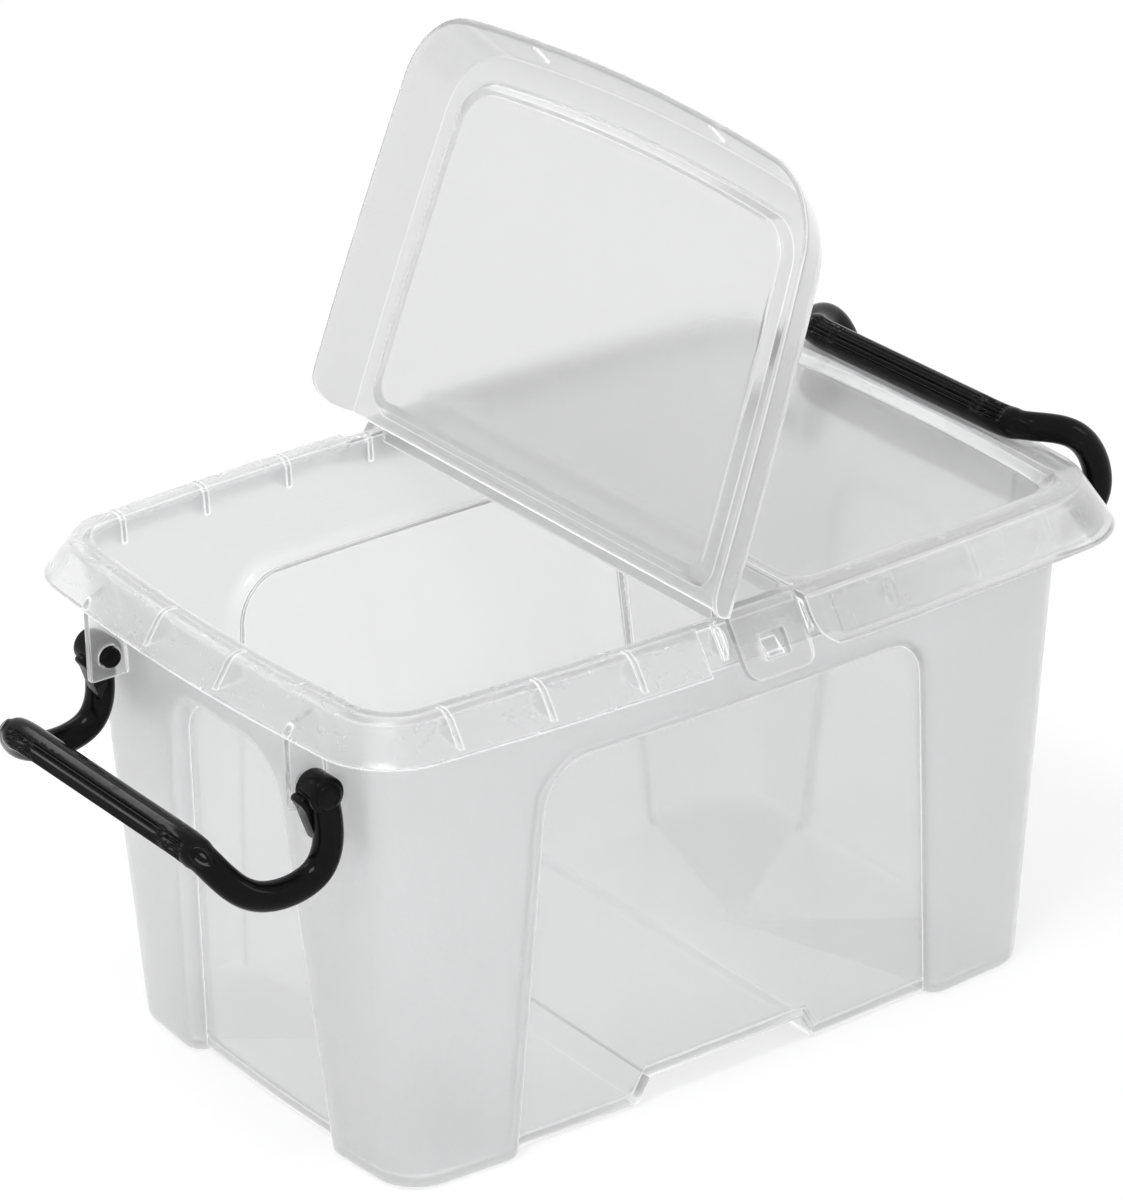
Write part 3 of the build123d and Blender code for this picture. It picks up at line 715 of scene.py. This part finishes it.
for side in (-1, 1):
    outline = rib_outline + np.array((tub_mid_x + side * rib_x, 0, 0))
    rib_shells.append(plate(outline, (-rib_half, 0, 0), (rib_half, 0, 0), rib_frost))
ribs = make_piece("lid_strap_ribs", rib_shells)
for piece in (band, ribs):
    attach(piece, "box")
    piece.data.materials.append(lid_plastic)

# The living hinges keep their CAD shape, in the lid's plastic
for hinge in ("living_hinge_left", "living_hinge_right"):
    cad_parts[hinge].data.materials.clear()
    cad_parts[hinge].data.materials.append(lid_plastic)


# ---------------------------------------------------------------------------
# Handles. Two bail handles moulded in glossy black: a fluted crossbar that runs on, round two bends, into
# bowed arms, and on each arm a boss whose pin snaps into its lug from outside. One is latched over the
# closed end of the lid and the other hangs open. Each is worked out latched, from its pivot, then turned.
# ---------------------------------------------------------------------------
arm_run = np.array([
    # outwards, along the box, upwards, in mm: B-spline points from the pivot to the middle of the crossbar
    (-1.0, -41.0, -0.3), (2.4, -41.0, 0.6), (6.8, -41.1, 2.0), (11.0, -41.2, 4.2), (13.9, -41.2, 7.6),
    (14.3, -41.2, 11.4), (13.3, -41.2, 15.4), (11.6, -41.1, 18.8), (9.4, -40.8, 21.6), (6.8, -40.2, 23.5),
    (4.2, -39.0, 24.5), (1.6, -37.4, 25.0), (-0.6, -35.4, 25.2), (-2.0, -32.8, 25.2), (-2.4, -29.0, 25.1),
    (-2.4, -24.0, 25.1), (-2.4, -12.0, 25.1), (-2.4, 0.0, 25.1), (-2.4, 12.0, 25.1),
]) / 1000
run_steps = 13
tube_sides = 120
arm_radius = 0.00305
bar_radius = 0.00335
bar_end, bar_fade = 0.0345, 0.002
bar_middle = np.array([-2.4, 0.0, 25.1]) / 1000
bar_down = np.array((-0.3, 0, -0.95))
end_share = 0.8
flute_depth = 0.00048
flute_half_width = radians(6.8)
flute_angles = np.radians([87.0, 104.0, 121.0, 138.0, 155.0])
flute_end, flute_fade = 0.0318, 0.0015
button_y, button_angle = 0.0347, radians(165.0)
button_radius, button_height, button_width = 0.0015, 0.0003, 0.0004


def spline(points, steps):
    """A uniform cubic B-spline, up to y = 0: each of its points is (1-t)^3, 3t^3-6t^2+4, -3t^3+3t^2+3t+1
    and t^3 sixths of four points in turn."""
    t = np.linspace(0, 1, steps, endpoint=False)[:, None, None]
    weights = ((1 - t) ** 3, 3 * t**3 - 6 * t**2 + 4, -3 * t**3 + 3 * t**2 + 3 * t + 1, t**3)
    runs = sum(w * points[None, k : len(points) - 3 + k] for k, w in enumerate(weights)) / 6
    line = runs.transpose(1, 0, 2).reshape(-1, 3)
    return line[line[:, 1] <= 1e-9]


def handle_tube():
    """The arm, bend and half the crossbar as a tube round the spline, and its mirror image beyond the
    middle. The section is a circle, sunk by half circles at the flutes, whose ends fade, and raised by a
    low ring, as a bell curve of the distance along the skin, round a mark at each end of the crossbar. Each
    section is turned by the cross product of the line with Y, and where that vanishes, along the crossbar,
    by bar_down."""
    line = spline(np.concatenate([arm_run[:1], arm_run]), run_steps)
    line = np.concatenate([line[line[:, 1] < -1e-6], [bar_middle]])
    along = np.gradient(line, axis=0)
    along /= np.linalg.norm(along, axis=1)[:, None]
    down = np.cross(along, (0, 1, 0)) + 1e-3 * bar_down
    down /= np.linalg.norm(down, axis=1)[:, None]
    out = np.cross(along, down)
    turn = np.linspace(0, 2 * pi, tube_sides, endpoint=False)
    ray = np.cos(turn)[None, :, None] * down[:, None] + np.sin(turn)[None, :, None] * out[:, None]
    reach = np.abs(line[:, 1])[:, None]
    on_bar = smooth_step((bar_end - reach) / bar_fade)
    facing = np.arctan2(ray[:, :, 2], ray[:, :, 0])
    off = np.hypot(reach - button_y, arm_radius * ((facing - button_angle + pi) % (2 * pi) - pi))
    ring = button_height * np.exp(-(((off - button_radius) / button_width) ** 2))
    radius = arm_radius + (bar_radius - arm_radius) * on_bar + ring
    for angle in flute_angles:
        off = (facing - angle + pi) % (2 * pi) - pi
        sunk = flute_depth * np.sqrt(np.clip(1 - (off / flute_half_width) ** 2, 0, 1))
        radius = radius - sunk * smooth_step((flute_end - reach) / flute_fade)
    tube = line[:, None] + radius[:, :, None] * ray
    cap = np.concatenate([np.tile(line[0], (1, tube_sides, 1)), line[0] + end_share * (tube[:1] - line[0])])
    half = np.concatenate([cap, tube])
    return np.concatenate([half, (half * np.array((1, -1, 1)))[::-1][1:]])


boss_sides = 56


def turned(section, side):
    """A shell of revolution about the pivot's axis, from a section of radius and distance from the
    middle."""
    turn = np.linspace(0, 2 * pi, boss_sides, endpoint=False)
    radius, y = np.array(section).T / 1000
    circle = np.stack([np.cos(turn), 0 * turn, np.sin(turn)], 1)
    return radius[:, None, None] * circle + side * y[:, None, None] * np.array((0, 1, 0))


boss_section = (
    # radius and distance from the middle of the box, in mm: the pin's end, the boss, and its domed head
    (0, 33.9), (1.7, 33.9), (2.05, 34.1), (2.2, 34.5), (2.2, 37.2), (3.4, 37.2), (3.7, 37.3), (3.8, 37.6),
    (3.8, 42.5), (3.72, 42.9), (3.45, 43.2), (2.95, 43.3), (2.86, 43.35), (2.84, 43.6), (2.6, 43.9),
    (2.1, 44.12), (1.2, 44.26), (0, 44.3),
)
tooth_outline = np.array([
    # outwards and upwards from the pivot, in mm
    (0.4, 0.4), (-1.2, 2.6), (-1.6, 3.9), (-1.5, 4.6), (-1.0, 5.0), (-0.2, 4.95), (1.2, 4.8), (3.6, 5.1),
    (6.4, 5.4), (8.8, 5.6), (7.0, 2.6),
]) / 1000
# Size against the outline, and distance from the middle of the box in mm
tooth_section = ((0.0, 37.2), (0.94, 37.2), (1.0, 37.5), (1.0, 40.5), (0.94, 40.8), (0.0, 40.8))


def handle_shells():
    """The tube, and for each arm its boss and the small cam tooth that the boss carries towards the box."""
    shells = [(handle_tube(), False, True)]
    middle = tooth_outline.mean(0)
    for side in (-1, 1):
        shells.append((turned(boss_section, side), False, True))
        rows = []
        for size, y in tooth_section:
            flat = middle + size * (tooth_outline - middle)
            rows.append(np.stack([flat[:, 0], np.full(len(flat), side * y / 1000), flat[:, 1]], 1))
        shells.append((np.stack(rows), False, True))
    return shells


def place_handle(name, mirrored, swing):
    """The latched handle moved to its pivot, or mirrored to the other end, and swung outwards by an
    angle."""
    c, s = cos(radians(swing)), sin(radians(swing))
    way = -1 if mirrored else 1
    shells = []
    for grid, rows_close, columns_close in handle_shells():
        x = tub_mid_x + way * (pivot_x + grid[..., 0] * c + grid[..., 2] * s)
        z = pivot_z - grid[..., 0] * s + grid[..., 2] * c
        shells.append((np.stack([x, grid[..., 1], z], -1), rows_close, columns_close))
    piece = make_piece(name, shells, sharp=50.0)
    node = "handle_left" if mirrored else "handle_right"
    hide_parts(node)
    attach(piece, node)
    return piece


black_plastic, tree, shader = shader_nodes("glossy_black_plastic")
place = add_node(tree, "ShaderNodeTexCoord").outputs["Object"]
flow = add_node(tree, "ShaderNodeTexNoise",
                {"Vector": place, "Scale": 90.0, "Detail": 3.0, "Distortion": 0.6}).outputs["Fac"]
stretched = add_node(tree, "ShaderNodeMapping", {"Vector": place, "Scale": (420.0, 30.0, 420.0)})
scratch = add_node(tree, "ShaderNodeTexNoise",
                   {"Vector": stretched.outputs[0], "Scale": 1.0, "Detail": 4.0})
dull = add_node(tree, "ShaderNodeMapRange",
                {"Value": flow, "From Min": 0.35, "From Max": 0.7, "To Min": 0.05, "To Max": 0.16})
worn = add_node(tree, "ShaderNodeMapRange",
                {"Value": scratch.outputs["Fac"], "From Min": 0.6, "From Max": 0.8, "To Max": 0.14})
rough = add_node(tree, "ShaderNodeMath", {0: dull.outputs[0], 1: worn.outputs[0]}, operation="ADD")
blacks = {"A": (0.003, 0.0028, 0.003, 1), "B": (0.008, 0.0072, 0.0075, 1)}
tone = add_node(tree, "ShaderNodeMix", {"Factor": flow, **blacks}, data_type="RGBA")
bump = add_node(tree, "ShaderNodeBump", {"Height": flow, "Strength": 0.3, "Distance": 0.0004})
tree.links.new(tone.outputs["Result"], shader.inputs["Base Color"])
shader.inputs["Specular IOR Level"].default_value = 0.08
tree.links.new(rough.outputs[0], shader.inputs["Roughness"])
tree.links.new(bump.outputs[0], shader.inputs["Normal"])
hanging_swing = 115.0
latched = place_handle("bail_handle_right", False, 0.0)
hanging = place_handle("bail_handle_left", True, hanging_swing)
for handle in (latched, hanging):
    handle.data.materials.append(black_plastic)


# ---------------------------------------------------------------------------
# Table, light and camera. The white table and world are seen brighter than they light the box, a soft lamp
# stands above it on the left, and two weaker ones on the right and behind. The camera has a long lens.
# ---------------------------------------------------------------------------
table_size = 8.0
table_z = -0.0003
table_matt, table_shaded, table_glow = 0.8, 0.36, 0.66
bpy.ops.mesh.primitive_plane_add(size=table_size, location=(0, 0, table_z))
table = bpy.context.object
table.name = "table"


def seen_rays(tree):
    """1 for a ray from the camera, one that has gone through plastic and one mirrored in it, and 0 for the
    rest."""
    path = add_node(tree, "ShaderNodeLightPath").outputs
    seen = path["Is Camera Ray"]
    for ray in ("Is Transmission Ray", "Is Glossy Ray"):
        seen = add_node(tree, "ShaderNodeMath", {0: seen, 1: path[ray]}, operation="MAXIMUM").outputs[0]
    return seen


table_white, tree, shader = shader_nodes("table_white")
tree.nodes.remove(shader)
matt = add_node(tree, "ShaderNodeBsdfDiffuse", {"Color": (table_matt, table_matt, table_matt, 1)})
shaded = add_node(tree, "ShaderNodeBsdfDiffuse", {"Color": (table_shaded, table_shaded, table_shaded, 1)})
glow = add_node(tree, "ShaderNodeEmission", {"Strength": table_glow})
both = add_node(tree, "ShaderNodeAddShader", {0: shaded.outputs[0], 1: glow.outputs[0]})
pick = add_node(tree, "ShaderNodeMixShader", {0: seen_rays(tree), 1: matt.outputs[0], 2: both.outputs[0]})
tree.links.new(pick.outputs[0], tree.nodes["Material Output"].inputs["Surface"])
table.data.materials.append(table_white)

world = bpy.data.worlds.new("studio")
bpy.context.scene.world = world
world.use_nodes = True
tree = world.node_tree
tree.nodes["Background"].inputs["Color"].default_value = (1, 1, 1, 1)
level = add_node(tree, "ShaderNodeMapRange", {"Value": seen_rays(tree), "To Min": 0.7, "To Max": 1.0})
tree.links.new(level.outputs[0], tree.nodes["Background"].inputs["Strength"])


lamp_aim = Vector((0, 0, 0.08))


def softbox(name, place, width, height, power):
    """A rectangular lamp at a place, turned towards the box."""
    lamp = bpy.data.lights.new(name, "AREA")
    lamp.shape = "RECTANGLE"
    lamp.size, lamp.size_y = width, height
    lamp.energy = power
    box = bpy.data.objects.new(name, lamp)
    box.location = place
    box.rotation_euler = (lamp_aim - Vector(place)).to_track_quat("-Z", "Y").to_euler()
    bpy.context.collection.objects.link(box)


softbox("key_lamp", (-0.65, -0.4, 1.45), 0.5, 0.5, 9.5)
softbox("fill_lamp", (1.15, -1.0, 0.7), 0.4, 0.7, 2.8)
softbox("back_strip", (-0.2, 1.1, 1.0), 1.0, 0.14, 2.5)

camera_azimuth = -35.55
camera_elevation = 25.27
camera_roll = -1.31
camera_place = (-0.6278216, -0.8734418, 0.5979643)
camera_lens = 174.452
camera_shift = (0.01606, 0.00085)
a, e, roll = (radians(v) for v in (camera_azimuth, camera_elevation, camera_roll))
back = Vector((sin(a) * cos(e), -cos(a) * cos(e), sin(e)))
right = Vector((cos(a), sin(a), 0))
up = back.cross(right)
camera_data = bpy.data.cameras.new("camera")
camera_data.lens = camera_lens
camera_data.shift_x, camera_data.shift_y = camera_shift
camera = bpy.data.objects.new("camera", camera_data)
bpy.context.collection.objects.link(camera)
turn = Matrix((cos(roll) * right + sin(roll) * up, cos(roll) * up - sin(roll) * right, back)).transposed()
camera.matrix_world = Matrix.Translation(camera_place) @ turn.to_4x4()
bpy.context.scene.camera = camera
bpy.context.scene.view_settings.view_transform = "Standard"
